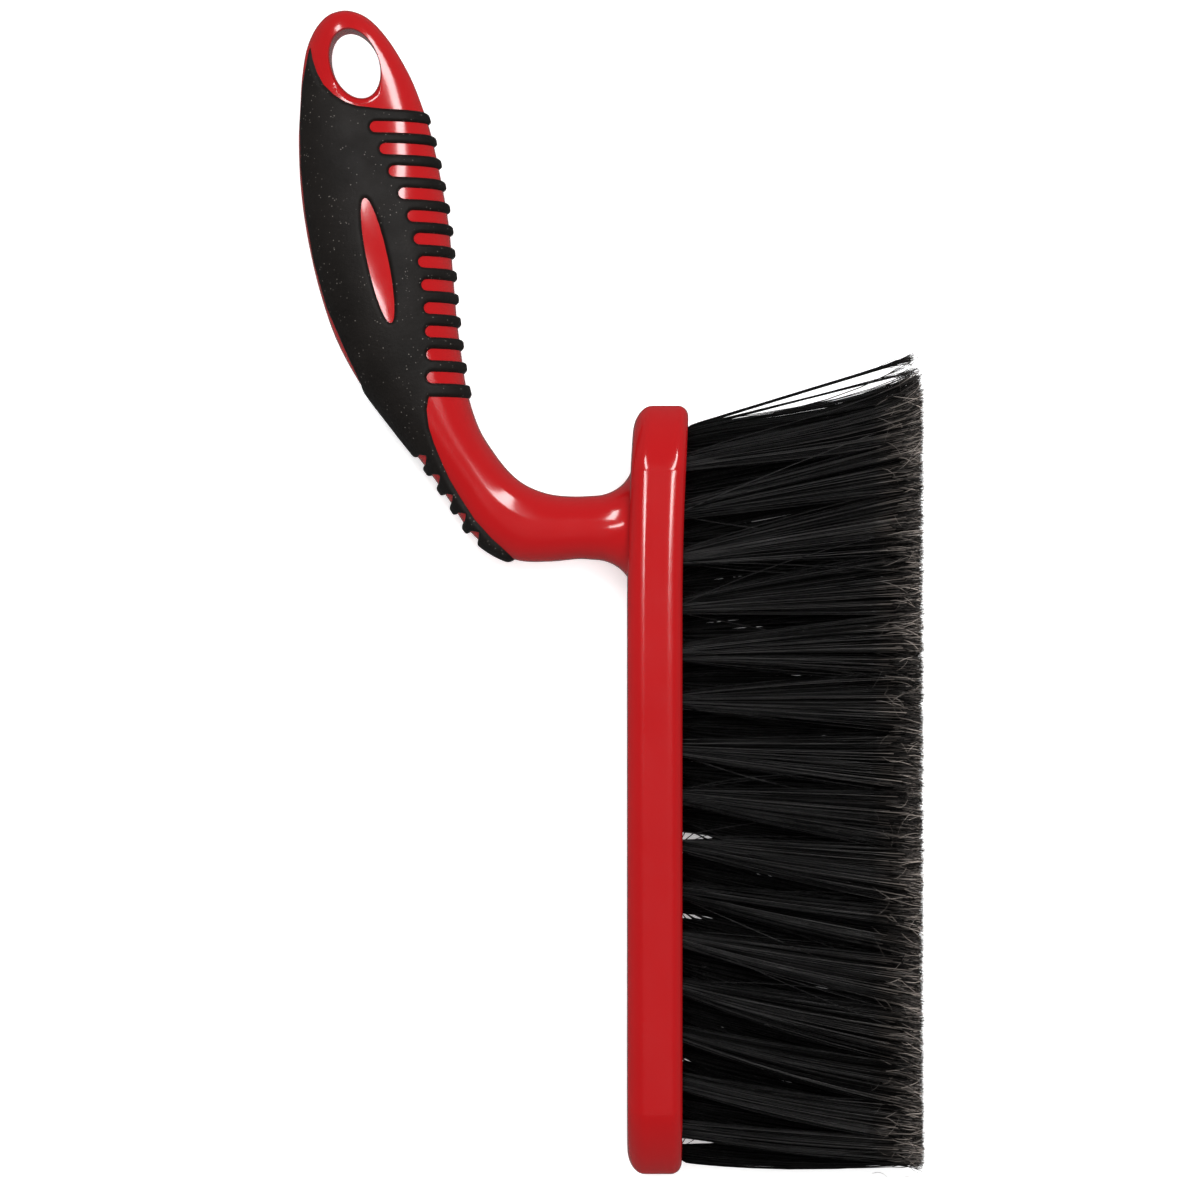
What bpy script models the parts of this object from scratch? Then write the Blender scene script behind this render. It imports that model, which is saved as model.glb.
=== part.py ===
"""Bench brush: a moulded block and offset handle, a rubber grip over the handle, and 46 bristle tufts.

The brush lies on the side face of its block. +X is the way the bristles point, +Y runs along the block
towards the hanging loop and +Z is up. The origin is the middle of the block's lower side face. Lengths
below are in millimetres, and mesh_object scales them to metres.
"""

import math

import bmesh
import bpy

MM = 0.001
FIT_GAP = 0.3

# Block: each edge radius is along x, y and z
BLOCK_BACK_X = -8.4
BLOCK_FACE_X = 7.1
BLOCK_LENGTH = 218.4
BLOCK_DEPTH = 30.0
BLOCK_CORNER = (19.0, 13.0)
BLOCK_CORNER_SQUARENESS = 1.45
BLOCK_CORNER_STEPS = 6
BACK_EDGE = (5.0, 7.5, 2.6)
BACK_EDGE_STEPS = 4
FACE_EDGE = (3.2, 3.4, 1.6)
FACE_EDGE_STEPS = 3
MID_Z = BLOCK_DEPTH / 2
# The block's sides are flat for FLAT_HALF either way from their middle and crowned beyond it
FLAT_HALF = 2.6
CROWN_RADIUS = 13.0
# Past BOW_FROM_Y the block bows towards the bristles, by BOW_RATE times the square of the distance.
# Its long sides have points at BLOCK_SIDE_Y, so that they can follow.
BOW_FROM_Y = 50.0
BOW_RATE = 0.0006
BLOCK_SIDE_Y = (81.0, 71.0, 61.0, 50.0)

# Handle: (outer edge x, y), (inner edge x, y) and half the depth at each station, from the loop to the neck
HANDLE = (
    ((-88.5, 221.8), (-88.5, 221.8), 0.0),
    ((-92.5, 220.9), (-84.7, 220.9), 3.4),
    ((-95.2, 219.0), (-81.6, 219.1), 4.8),
    ((-97.8, 215.4), (-78.1, 215.6), 5.8),
    ((-99.8, 210.2), (-74.4, 210.5), 6.3),
    ((-101.0, 202.6), (-70.1, 202.8), 6.8),
    ((-101.5, 194.2), (-66.9, 194.8), 7.8),
    ((-101.9, 184.1), (-64.0, 185.6), 9.4),
    ((-101.3, 170.7), (-61.3, 173.0), 11.4),
    ((-99.3, 156.5), (-59.1, 160.1), 12.5),
    ((-95.9, 141.8), (-58.0, 147.1), 12.6),
    ((-90.9, 127.4), (-56.9, 134.2), 12.0),
    ((-83.3, 113.8), (-55.4, 122.3), 11.0),
    ((-74.4, 102.3), (-53.8, 112.8), 10.2),
    ((-66.0, 92.1), (-50.5, 102.8), 9.6),
    ((-58.7, 81.8), (-46.0, 95.5), 9.2),
    ((-53.2, 73.5), (-41.7, 90.2), 9.0),
    ((-46.5, 68.0), (-37.4, 86.8), 8.9),
    ((-38.9, 65.1), (-32.2, 84.6), 8.8),
    ((-30.3, 64.9), (-27.5, 83.7), 8.8),
    ((-22.4, 65.6), (-22.4, 83.5), 8.8),
    ((-18.0, 65.4), (-18.0, 83.7), 8.8),
)
HANDLE_STEPS = 2
HANDLE_SIDES = 20
HANDLE_SQUARENESS = 2.1

# The neck flares into the back of the block as an elliptical fillet: its size along x, y and z
FLARE = (11.2, 10.1, 2.4)
FLARE_TURNS = tuple(math.radians(a) for a in (22, 42, 58, 72, 84))
FLARE_SINK = 3.0

# Hanging loop
LOOP_HOLE = (-85.6, 206.0)
LOOP_HOLE_HALF = (6.7, 10.1)
LOOP_HOLE_TILT = math.radians(20)
# (height from the middle of the handle, how much wider the hole is there)
LOOP_RIM = ((-12.0, 1.7), (-6.2, 1.24), (-4.8, 1.04), (4.8, 1.04), (6.2, 1.24), (12.0, 1.7))
LOOP_SIDES = 20

# Rubber grip
GRIP_THICKNESS = 1.2
GRIP_STATIONS = (3, 19)
SLOT_HALF = 1.6
# (left end x, middle y) of each slot, from the loop down
SLOTS = (
    (-81.1, 187.6), (-78.3, 181.3), (-75.7, 174.9), (-72.9, 168.6), (-70.4, 162.2), (-68.6, 155.8),
    (-67.4, 149.3), (-66.5, 142.8), (-65.8, 136.3), (-65.4, 129.7), (-65.1, 123.2), (-65.0, 116.7),
)  # fmt: skip
CLEAR_X = -45.0
GRIP_TOP_EDGE = (
    (-98.4, 211.2), (-97.6, 207.2), (-96.3, 203.4), (-94.4, 199.9), (-91.4, 196.9), (-88.3, 194.9),
    (-84.8, 193.6), (-77.9, 192.9), (CLEAR_X, 192.2),
)  # fmt: skip
GRIP_LOWER_EDGE = (
    (CLEAR_X, 111.2), (-64.4, 111.2), (-65.0, 107.5), (-64.4, 102.7), (-63.0, 98.2), (-60.8, 92.8),
    (-58.6, 88.0), (-55.4, 82.6), (-51.6, 76.8), (-46.8, 71.4), (-44.3, 69.2), (-40.6, 65.6), (-37.6, 62.5),
)  # fmt: skip
GRIP_SPINE_EDGE = (
    (-80.0, 102.0), (-83.0, 109.4), (-84.0, 115.0), (-87.5, 122.7), (-93.4, 136.4), (-97.2, 149.9),
    (-99.6, 163.5), (-101.0, 177.0), (-101.2, 190.5), (-100.5, 200.6),
)  # fmt: skip
NOTCHES = ((-52.5, 71.9), (-56.2, 77.1), (-59.9, 82.4), (-63.5, 87.9), (-67.3, 93.3))
NOTCH_AWAY = (-0.83, -0.56)
NOTCH_HALF = 1.5
NOTCH_DEPTH = 2.6
NOTCH_CLEAR = 4.5
INLAY = (-78.7, 149.5)
INLAY_HALF = (2.9, 18.0)
INLAY_TILT = math.radians(12)
INLAY_SIDES = 16

# Bristle tufts
ROW_Z = {"front": MID_Z + 8.0, "middle": MID_Z, "back": MID_Z - 8.0}
ROW_TUFTS = {"front": 15, "middle": 16, "back": 15}
ROW_MIDDLE_Y = -1.3
TUFT_PITCH = 13.45
TUFT_RADIUS = 2.7
TUFT_SIDES = 10
HOLE_SIDES = 16
HOLE_DEPTH = 11.0
TIP_X = 75.0
TIP_HALF_DEPTH = 14.0
TIP_GAP = 0.3
# The bristles lean outwards: (y at the block, y at the tips)
FAN = (
    (-109.5, -107.5), (-97.0, -103.5), (-73.0, -89.0), (-17.0, -27.5),
    (25.0, 24.0), (80.6, 95.0), (108.0, 121.2),
)  # fmt: skip

RED = (0.58, 0.017, 0.021, 1.0)
RUBBER = (0.030, 0.025, 0.023, 1.0)
BRISTLE = (0.012, 0.011, 0.011, 1.0)


def clear_scene():
    for obj in list(bpy.data.objects):
        bpy.data.objects.remove(obj, do_unlink=True)


def plastic(name, colour, roughness):
    material = bpy.data.materials.new(name)
    material.use_nodes = True
    shader = material.node_tree.nodes["Principled BSDF"]
    shader.inputs["Base Color"].default_value = colour
    shader.inputs["Roughness"].default_value = roughness
    shader.inputs["Metallic"].default_value = 0.0
    return material


def mesh_object(name, points, faces, material=None):
    """An object from points in millimetres, with its faces turned outwards."""
    mesh = bpy.data.meshes.new(name)
    mesh.from_pydata([tuple(c * MM for c in p) for p in points], [], faces)
    work = bmesh.new()
    work.from_mesh(mesh)
    bmesh.ops.recalc_face_normals(work, faces=work.faces)
    if work.calc_volume(signed=True) < 0:
        bmesh.ops.reverse_faces(work, faces=work.faces)
    work.to_mesh(mesh)
    work.free()
    if material:
        mesh.materials.append(material)
    obj = bpy.data.objects.new(name, mesh)
    bpy.context.scene.collection.objects.link(obj)
    return obj


def hide_cutter(obj):
    obj.hide_render = True
    obj.display_type = "WIRE"
    return obj


def boolean(obj, operation, other):
    modifier = obj.modifiers.new(other.name, "BOOLEAN")
    modifier.operation = operation
    modifier.solver = "EXACT"
    modifier.object = other


def skin(rings, ring_loop=False, strips=False):
    """Points and faces that join each ring to the next. A ring of one point closes to a tip.

    strips caps the ends with strips between mirrored points, for rings that aren't flat.
    """
    points, starts = [], []
    for ring in rings:
        starts.append(len(points))
        points.extend(ring)
    faces = []
    for i in range(len(rings) if ring_loop else len(rings) - 1):
        j = (i + 1) % len(rings)
        for k in range(max(len(rings[i]), len(rings[j]))):
            a, b = starts[i] + k % len(rings[i]), starts[i] + (k + 1) % len(rings[i])
            d, c = starts[j] + k % len(rings[j]), starts[j] + (k + 1) % len(rings[j])
            faces.append(list(dict.fromkeys((a, b, c, d))))
    if not ring_loop:
        for start, ring in ((starts[0], rings[0]), (starts[-1], rings[-1])):
            last = start + len(ring) - 1
            if strips:
                for k in range(len(ring) // 2 - 1):
                    faces.append([start + k, start + k + 1, last - k - 1, last - k])
            elif len(ring) > 2:
                faces.append(list(range(start, last + 1)))
    return points, faces


def block_outline(inset_y, inset_z):
    """(y, z) points round the block: the upper half from +y to -y, then its mirror image back again."""
    half_y, half_z = BLOCK_LENGTH / 2 - inset_y, BLOCK_DEPTH / 2 - inset_z
    radius_y, radius_z = BLOCK_CORNER[0] - inset_y, BLOCK_CORNER[1] - inset_z
    power = 2 / BLOCK_CORNER_SQUARENESS
    corner = []
    for step in range(BLOCK_CORNER_STEPS + 1):
        angle = math.pi / 2 * step / BLOCK_CORNER_STEPS
        out_y, out_z = max(0.0, math.cos(angle)) ** power, math.sin(angle) ** power
        corner.append((half_y - radius_y * (1 - out_y), half_z - radius_z * (1 - out_z)))
    upper = corner + [(y, half_z) for y in BLOCK_SIDE_Y] + [(-y, z) for y, z in reversed(corner)]
    return upper + [(y, -z) for y, z in reversed(upper)]


def bow(y):
    """How far the block is bowed towards the bristles at y."""
    return BOW_RATE * max(0.0, y - BOW_FROM_Y) ** 2


def ellipse(centre, half, tilt, sides, scale=1.0):
    points = []
    for side in range(sides):
        angle = 2 * math.pi * side / sides
        x, y = scale * half[0] * math.cos(angle), scale * half[1] * math.sin(angle)
        points.append((
            centre[0] + x * math.cos(tilt) - y * math.sin(tilt),
            centre[1] + x * math.sin(tilt) + y * math.cos(tilt),
        ))  # fmt: skip
    return points


def block_ring(x, inset_y=0.0, inset_z=0.0):
    """The block's outline at x, brought in by its crown and by the rounding of its edges."""
    beyond_flat = max(0.0, abs(x - (BLOCK_BACK_X + BLOCK_FACE_X) / 2) - FLAT_HALF)
    outline = block_outline(inset_y, inset_z + beyond_flat**2 / (2 * CROWN_RADIUS))
    return [(x + bow(y), y, MID_Z + z) for y, z in outline]


def edge_rings(end_x, inwards, edge, steps):
    """Outlines of the block from its end at end_x to where the rounding of its edges stops."""
    edge_x, edge_y, edge_z = edge
    rings = []
    for step in range(steps + 1):
        angle = math.pi / 2 * step / steps
        inset = 1 - math.sin(angle)
        x = end_x + inwards * edge_x * (1 - math.cos(angle))
        rings.append(block_ring(x, edge_y * inset, edge_z * inset))
    return rings


def block_rings():
    back = edge_rings(BLOCK_BACK_X, 1, BACK_EDGE, BACK_EDGE_STEPS)
    face = edge_rings(BLOCK_FACE_X, -1, FACE_EDGE, FACE_EDGE_STEPS)
    middle = (BLOCK_BACK_X + BLOCK_FACE_X) / 2
    flat = [block_ring(middle - FLAT_HALF), block_ring(middle + FLAT_HALF)]
    return back + flat + face[::-1]


def smooth(before, start, end, after, t):
    """A point on the curve that runs through start and end at t = 0 and 1."""
    return [
        0.5 * (2 * b + (c - a) * t + (2 * a - 5 * b + 4 * c - d) * t * t + (3 * b - a - 3 * c + d) * t**3)
        for a, b, c, d in zip(before, start, end, after, strict=True)
    ]


def handle_stations(first, last):
    """Stations first to last of HANDLE and smooth ones between: (outer x, y, inner x, y, half depth)."""
    flat = [(*outer, *inner, half_depth) for outer, inner, half_depth in HANDLE]
    outer_x, outer_y, inner_x, inner_y, half_depth = flat[1]
    beyond_tip = (inner_x, inner_y, outer_x, outer_y, -half_depth)
    found = []
    for i in range(first, last):
        before = flat[i - 1] if i else beyond_tip
        after = flat[min(i + 2, len(flat) - 1)]
        for step in range(HANDLE_STEPS):
            found.append(smooth(before, flat[i], flat[i + 1], after, step / HANDLE_STEPS))
    return [*found, flat[last]]


def flare_stations():
    """Stations of the fillet from the neck to the back of the block, and one sunk into the block."""
    (neck_x, low), (_, high), half_depth = HANDLE[-1]
    flare_x, flare_y, flare_z = FLARE
    found = []
    for turn in FLARE_TURNS:
        x, grown = neck_x + flare_x * math.sin(turn), 1 - math.cos(turn)
        found.append((x, low - flare_y * grown, x, high + flare_y * grown, half_depth + flare_z * grown))
    _, last_low, _, last_high, last_depth = found[-1]
    sunk_x = BLOCK_BACK_X + FLARE_SINK
    return [*found, (sunk_x, last_low, sunk_x, last_high, last_depth)]


def handle_ring(station, grow):
    """Points round the handle at one station, grown outwards all round."""
    outer_x, outer_y, inner_x, inner_y, half_depth = station
    width = math.hypot(inner_x - outer_x, inner_y - outer_y)
    if width == 0:
        return [(outer_x, outer_y, MID_Z)]
    across = ((inner_x - outer_x) / width, (inner_y - outer_y) / width)
    middle = ((outer_x + inner_x) / 2, (outer_y + inner_y) / 2)
    power = 2 / HANDLE_SQUARENESS
    ring = []
    for side in range(HANDLE_SIDES):
        angle = 2 * math.pi * side / HANDLE_SIDES
        u = math.copysign(abs(math.cos(angle)) ** power, math.cos(angle)) * (width / 2 + grow)
        w = math.copysign(abs(math.sin(angle)) ** power, math.sin(angle)) * (half_depth + grow)
        ring.append((middle[0] + u * across[0], middle[1] + u * across[1], MID_Z + w))
    return ring


def tuft_centres():
    """(name, row, y, z) of each tuft at the block."""
    found = []
    for row, z in ROW_Z.items():
        count = ROW_TUFTS[row]
        for i in range(count):
            y = ROW_MIDDLE_Y + TUFT_PITCH * ((count - 1) / 2 - i)
            found.append((f"tuft_{row}_{i + 1:02d}", row, y, z))
    return found


def fanned(y):
    """Where bristles that leave the block at y have their tips."""
    y = max(FAN[0][0], min(FAN[-1][0], y))
    for (y0, tip0), (y1, tip1) in zip(FAN[:-1], FAN[1:], strict=True):
        if y <= y1:
            return tip0 + (tip1 - tip0) * (y - y0) / (y1 - y0)


def hole_cutter():
    """One cutter for every tuft hole: round bars that start clear of the bristle face."""
    points, faces = [], []
    for _, _, y, z in tuft_centres():
        circle = ellipse((y, z), (TUFT_RADIUS + FIT_GAP,) * 2, 0.0, HOLE_SIDES)
        face_x = BLOCK_FACE_X + bow(y)
        ends = (face_x - HOLE_DEPTH, face_x + FACE_EDGE[0])
        bar_points, bar_faces = skin([[(x, cy, cz) for cy, cz in circle] for x in ends])
        faces += [[v + len(points) for v in face] for face in bar_faces]
        points += bar_points
    return hide_cutter(mesh_object("cutter_tuft_holes", points, faces))


def loop_cutter():
    rings = []
    for height, scale in LOOP_RIM:
        outline = ellipse(LOOP_HOLE, LOOP_HOLE_HALF, LOOP_HOLE_TILT, LOOP_SIDES, scale)
        rings.append([(x, y, MID_Z + height) for x, y in outline])
    return hide_cutter(mesh_object("cutter_loop_hole", *skin(rings)))


def make_body(material):
    body = mesh_object("body", *skin(block_rings(), strips=True), material)
    stations = handle_stations(0, len(HANDLE) - 1) + flare_stations()
    rings = [handle_ring(station, 0.0) for station in stations]
    boolean(body, "UNION", hide_cutter(mesh_object("join_handle", *skin(rings))))
    boolean(body, "DIFFERENCE", loop_cutter())
    boolean(body, "DIFFERENCE", hole_cutter())


def slot_outline(end_x, y):
    """One slot in the grip's edge, from the open side round its closed end and back."""
    steps = 4
    points = [(CLEAR_X, y + SLOT_HALF)]
    for step in range(steps + 1):
        angle = math.pi / 2 + math.pi * step / steps
        points.append((end_x + SLOT_HALF * (1 + math.cos(angle)), y + SLOT_HALF * math.sin(angle)))
    return [*points, (CLEAR_X, y - SLOT_HALF)]


def notch_outline(x, y):
    """One notch in the grip's outer edge: in from outside the handle and out again."""
    out_x, out_y = NOTCH_AWAY
    along_x, along_y = -out_y, out_x
    shoulder = NOTCH_HALF - NOTCH_DEPTH
    points = []
    for side, out in ((1, NOTCH_CLEAR), (1, shoulder), (0, -NOTCH_DEPTH), (-1, shoulder), (-1, NOTCH_CLEAR)):
        along = side * NOTCH_HALF
        points.append((x + along * along_x + out * out_x, y + along * along_y + out * out_y))
    return points


def grip_outline():
    """The rubber seen from the side, wider than the handle where the rubber wraps round it."""
    outline = list(GRIP_TOP_EDGE)
    for end_x, y in SLOTS:
        outline += slot_outline(end_x, y)
    outline += GRIP_LOWER_EDGE
    for x, y in NOTCHES:
        outline += notch_outline(x, y)
    return [*outline, *GRIP_SPINE_EDGE]


def prism(name, outline):
    """A hidden bar of this outline that reaches past both sides of the handle."""
    rings = [[(x, y, z) for x, y in outline] for z in (MID_Z - BLOCK_DEPTH, MID_Z + BLOCK_DEPTH)]
    return hide_cutter(mesh_object(name, *skin(rings)))


def make_grip(material):
    stations = handle_stations(*GRIP_STATIONS)
    rings = [handle_ring(station, GRIP_THICKNESS) for station in stations]
    rings += [handle_ring(station, FIT_GAP) for station in reversed(stations)]
    grip = mesh_object("grip", *skin(rings, ring_loop=True), material)
    boolean(grip, "INTERSECT", prism("keep_grip", grip_outline()))
    boolean(grip, "DIFFERENCE", prism("cutter_inlay", ellipse(INLAY, INLAY_HALF, INLAY_TILT, INLAY_SIDES)))


def tuft_rings(row, y, z):
    """A round root in its hole, then a flare to the tuft's own share of the brush's flat tip face."""
    root = ellipse((y, z), (TUFT_RADIUS,) * 2, math.pi / TUFT_SIDES, TUFT_SIDES)
    low, high = (fanned(y + side * TUFT_PITCH / 2) for side in (-1, 1))
    cell = 2 * TIP_HALF_DEPTH / len(ROW_Z)
    tip_z = MID_Z + cell * {"front": 1, "middle": 0, "back": -1}[row]
    half_y, half_z = (high - low - TIP_GAP) / 2, (cell - TIP_GAP) / 2
    tip = []
    for u, v in ellipse((0.0, 0.0), (1.0, 1.0), math.pi / TUFT_SIDES, TUFT_SIDES):
        squared = max(abs(u), abs(v)) ** 0.5
        tip.append(((low + high) / 2 + half_y * u / squared, tip_z + half_z * v / squared))
    face_x = BLOCK_FACE_X + bow(y)
    sections = ((face_x - HOLE_DEPTH + FIT_GAP, root), (face_x, root), (TIP_X, tip))
    return [[(x, section_y, section_z) for section_y, section_z in section] for x, section in sections]


def main():
    clear_scene()
    make_body(plastic("red_plastic", RED, 0.22))
    make_grip(plastic("black_rubber", RUBBER, 0.62))
    bristle = plastic("black_bristle", BRISTLE, 0.5)
    for name, row, y, z in tuft_centres():
        mesh_object(name, *skin(tuft_rings(row, y, z)), bristle)


main()
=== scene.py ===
"""Looks of the bench brush: glossy red moulding, ribbed rubber grip and tufts of split-tipped filament.

Lengths are in millimetres in the CAD frame until mesh_piece scales them to metres. +X is the way the
bristles point, +Y runs along the block towards the hanging loop, and the block lies on z = 0.
"""

import math

import bmesh
import bpy
import numpy as np
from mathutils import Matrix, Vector


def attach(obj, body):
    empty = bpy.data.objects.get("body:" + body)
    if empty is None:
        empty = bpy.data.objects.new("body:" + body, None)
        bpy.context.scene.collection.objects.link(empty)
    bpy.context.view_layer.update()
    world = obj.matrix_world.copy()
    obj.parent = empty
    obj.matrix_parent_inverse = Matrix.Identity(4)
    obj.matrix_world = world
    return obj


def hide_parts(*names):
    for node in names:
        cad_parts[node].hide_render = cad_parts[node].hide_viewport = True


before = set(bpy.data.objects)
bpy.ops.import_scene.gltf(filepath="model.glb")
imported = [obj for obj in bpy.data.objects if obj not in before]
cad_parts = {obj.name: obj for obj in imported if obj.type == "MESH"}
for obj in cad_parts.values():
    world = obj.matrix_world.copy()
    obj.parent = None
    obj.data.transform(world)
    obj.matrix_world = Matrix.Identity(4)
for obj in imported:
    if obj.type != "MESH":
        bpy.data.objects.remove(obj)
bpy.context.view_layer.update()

MM = 0.001
MID_Z = 15.0
# An edge of the body that turns by more than this is shaded as a sharp one
SHARP_ANGLE = math.radians(42)

# Block: back and face, half length, half depth, and the size of its rounded edges
BLOCK_BACK_X, BLOCK_FACE_X = -8.4, 7.1
BLOCK_HALF_LENGTH, BLOCK_HALF_DEPTH = 109.2, 15.0
BLOCK_CORNER, CORNER_SQUARENESS = (19.0, 13.0), 1.45
BACK_EDGE = (5.0, 7.5, 2.6)
FACE_EDGE = (3.2, 3.4, 1.6)
# The block's sides are flat for FLAT_HALF either way from their middle and crowned beyond it
FLAT_HALF, CROWN_RADIUS = 2.6, 13.0
# Past BOW_FROM_Y the block bows towards the bristles, by BOW_RATE times the square of the distance
BOW_FROM_Y, BOW_RATE = 50.0, 0.0006
BOWED_SIDE_Y = np.arange(88, 45, -2.0)
CORNER_STEPS, EDGE_STEPS, SIDE_RINGS = 28, 10, 12

# Handle: outer edge x, y, inner edge x, y and half depth at each station, from the loop to the neck
HANDLE = np.array([
    (-88.5, 221.8, -88.5, 221.8, 0.0),
    (-92.5, 220.9, -84.7, 220.9, 3.4),
    (-95.2, 219.0, -81.6, 219.1, 4.8),
    (-97.8, 215.4, -78.1, 215.6, 5.8),
    (-99.8, 210.2, -74.4, 210.5, 6.3),
    (-101.0, 202.6, -70.1, 202.8, 6.8),
    (-101.5, 194.2, -66.9, 194.8, 7.8),
    (-101.9, 184.1, -64.0, 185.6, 9.4),
    (-101.3, 170.7, -61.3, 173.0, 11.4),
    (-99.3, 156.5, -59.1, 160.1, 12.5),
    (-95.9, 141.8, -58.0, 147.1, 12.6),
    (-90.9, 127.4, -56.9, 134.2, 12.0),
    (-83.3, 113.8, -55.4, 122.3, 11.0),
    (-74.4, 102.3, -53.8, 112.8, 10.2),
    (-66.0, 92.1, -50.5, 102.8, 9.6),
    (-58.7, 81.8, -46.0, 95.5, 9.2),
    (-53.2, 73.5, -41.7, 90.2, 9.0),
    (-46.5, 68.0, -37.4, 86.8, 8.9),
    (-38.9, 65.1, -32.2, 84.6, 8.8),
    (-30.3, 64.9, -27.5, 83.7, 8.8),
    (-22.4, 65.6, -22.4, 83.5, 8.8),
    (-18.0, 65.4, -18.0, 83.7, 8.8),
])  # fmt: skip
SQUARENESS = 2.1
# Station numbers: the loop's end has its rings closer together than the even ones after it
TIP_STATIONS, STATION_STEP = (0.02, 0.08, 0.2, 0.35, 0.5, 0.7, 0.85), 0.125
HANDLE_SIDES = 72
# The neck flares out as it meets the block, and its last ring is inside the block
FLARE_X, FLARE_Y, FLARE_Z = 11.2, 10.1, 2.4
FLARE_TURNS, FLARE_INSIDE = np.radians(np.arange(4, 85, 4)), 2.5

LOOP_HOLE = (-85.6, 206.0)
LOOP_HOLE_HALF = (6.7, 10.1)
LOOP_HOLE_TILT = math.radians(20)
# Its rounded rim: height above the middle where the rounding starts, and its own height and width
RIM_FROM, RIM_RISE, RIM_WIDTH = 4.1, 2.8, 1.9
# The cutter's ends: height above the middle, and how much wider than the hole they are
LOOP_CUTTER_END = (14.0, 4.0)
# Plain handle between the hole and the rubber
LOOP_RIM_WIDTH = 2.2

# Rubber grip: how far it stands off the handle on the broad sides, at the ribs and along the back
GRIP_FRONT, GRIP_RIB, GRIP_SPINE, GRIP_ROUNDING = 1.0, 1.1, 1.4, 1.3
# Along the back its height changes from station to station
SPINE_STATIONS, SPINE_RISE = (10.0, 11.5, 12.5, 15.0), (0.9, 0.5, 0.6, GRIP_SPINE)
# Past its outline the rubber carries on for GRIP_SKIRT, sunk up to GRIP_SUNK into the handle. The shell's
# inner side lies GRIP_INSIDE under the handle's surface
GRIP_SKIRT, GRIP_SUNK, GRIP_INSIDE = 0.9, 0.9, 1.8
GRIP_STATIONS, GRIP_STATION_STEP, GRIP_SIDES = (3.0, 19.0), 1 / 32, 184
# About how much wider than deep the handle is, to space the grip's points evenly
HANDLE_FLATNESS = 1.6
SLOT_HALF = 1.6
# (left end x, middle y) of each slot, from the loop down
SLOTS = (
    (-81.1, 187.6), (-78.3, 181.3), (-75.7, 174.9), (-72.9, 168.6), (-70.4, 162.2), (-68.6, 155.8),
    (-67.4, 149.3), (-66.5, 142.8), (-65.8, 136.3), (-65.4, 129.7), (-65.1, 123.2), (-65.0, 116.7),
)  # fmt: skip
# Well clear of the handle, on the side of the ribs
CLEAR_X = -45.0
GRIP_TOP_EDGE = (
    (-98.4, 211.2), (-97.6, 207.2), (-96.3, 203.4), (-94.4, 199.9), (-91.4, 196.9), (-88.3, 194.9),
    (-84.8, 193.6), (-77.9, 192.9), (CLEAR_X, 192.2),
)  # fmt: skip
GRIP_LOWER_EDGE = (
    (CLEAR_X, 111.2), (-64.4, 111.2), (-65.0, 107.5), (-64.4, 102.7), (-63.0, 98.2), (-60.8, 92.8),
    (-58.6, 88.0), (-55.4, 82.6), (-51.6, 76.8), (-46.8, 71.4), (-44.3, 69.2), (-40.6, 65.6), (-37.6, 62.5),
)  # fmt: skip
GRIP_SPINE_EDGE = (
    (-80.0, 102.0), (-83.0, 109.4), (-84.0, 115.0), (-87.5, 122.7), (-93.4, 136.4), (-97.2, 149.9),
    (-99.6, 163.5), (-101.0, 177.0), (-101.2, 190.5), (-100.5, 200.6),
)  # fmt: skip
# Middle of each notch at the back of the bend. NOTCH_AWAY points out of the handle
NOTCHES = ((-52.5, 71.9), (-56.2, 77.1), (-59.9, 82.4), (-63.5, 87.9), (-67.3, 93.3))
NOTCH_AWAY = np.array((-0.83, -0.56))
NOTCH_HALF, NOTCH_DEPTH, NOTCH_CLEAR = 1.5, 2.6, 4.5
INLAY, INLAY_HALF, INLAY_TILT = (-78.7, 149.5), (2.9, 18.0), math.radians(12)
OPENING_SIDES = 64

# Tufts
ROW_Z = {"front": MID_Z + 8.0, "middle": MID_Z, "back": MID_Z - 8.0}
ROW_TUFTS = {"front": 15, "middle": 16, "back": 15}
ROW_MIDDLE_Y = -1.3
TUFT_PITCH, TUFT_RADIUS, HOLE_RADIUS, HOLE_DEPTH = 13.45, 2.7, 3.0, 11.0
# The hole's mouth is countersunk, from MOUTH inside the face to MOUTH outside it
HOLE_SIDES, MOUTH, MOUTH_WIDENING = 24, 0.5, 0.8
TIP_X, TIP_HALF_DEPTH = 75.0, 14.0
# (y at the block, y at the tips): how the tufts fan out
FAN = np.array([
    (-109.5, -106.0), (-97.0, -102.8), (-73.0, -89.0), (-17.0, -27.5),
    (25.0, 24.0), (80.6, 95.0), (108.0, 121.2),
])  # fmt: skip
# Along the block: how much sooner than straight the filaments reach their sideways place (later where
# it is negative), and how far they bow on the way
BEND_Y, BEND = (-105, -90, -40, 40, 80, 102), (0.7, 0.4, 0.2, 0.2, 0.0, -1.1)
BOW_Y, BOW = (-105, -93), (-1.6, 0.0)
# (tuft, filaments, y and z of their ends): a few filaments that have left the mass, quite straight
WISPS = (("middle_01", 14, 122.9, 16.0), ("middle_01", 6, 118.9, 20.0))
# (y, lean in y for each mm of z, half width at the block, length): gaps right through, between tufts
PARTINGS = (
    (-13.2, 0.067, 1.2, 14.5), (-35.9, 0.09, 0.8, 10.0),
    (-76.8, 0.13, 0.4, 5.0), (-100.1, 0.154, 0.95, 12.0),
)  # fmt: skip
# A parting's middle drifts towards -y by this share of the way out, and it starts this far inside the hole
PARTING_DRIFT, PARTING_INSIDE = 0.05, 0.5
# A tuft of the middle or back row swells to this half width, within about this length of its hole's mouth
SWELL_TO, SWELL_LENGTH, SWELL_INSIDE = 3.9, 0.6, 0.4

# Filaments
TUBE_SIDES = 3
FILAMENTS = {"front": 150, "middle": 200, "back": 200}
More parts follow.
